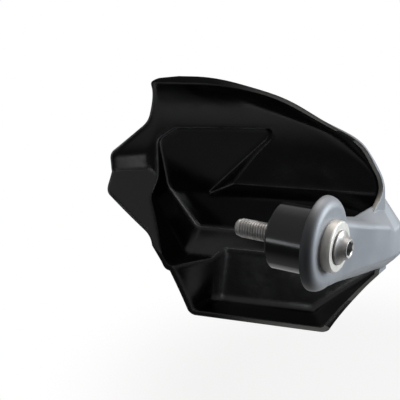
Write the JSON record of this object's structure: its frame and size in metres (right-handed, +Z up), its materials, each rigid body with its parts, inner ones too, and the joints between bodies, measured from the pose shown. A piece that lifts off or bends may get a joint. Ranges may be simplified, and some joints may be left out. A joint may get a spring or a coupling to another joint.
{
  "type": "motorcycle hand guard",
  "caption": "Formed plastic hand guard for a motorcycle bar end: leaning hood, lower tray, raised band, and an arm to a dished boss with spacer, washer and bolt.",
  "frame": {"origin": "centre of the spacer's inboard face, where the bolt enters the handlebar's end", "axes": "+X outboard along the bolt, +Y forward, +Z up"},
  "size_m": [0.2312, 0.149, 0.1769],
  "materials": {
    "shell_plastic": "gloss black inside, fine satin grey-black outside",
    "black_sleeve": "gloss black",
    "washer_alloy": "turned, satin",
    "bolt_steel": "plain stainless"
  },
  "bodies": {
    "root": {"guard_shell": "shell_plastic", "bar_end_spacer": "black_sleeve", "bar_end_washer": "washer_alloy", "bar_end_bolt": "bolt_steel"}
  },
  "joints": []
}
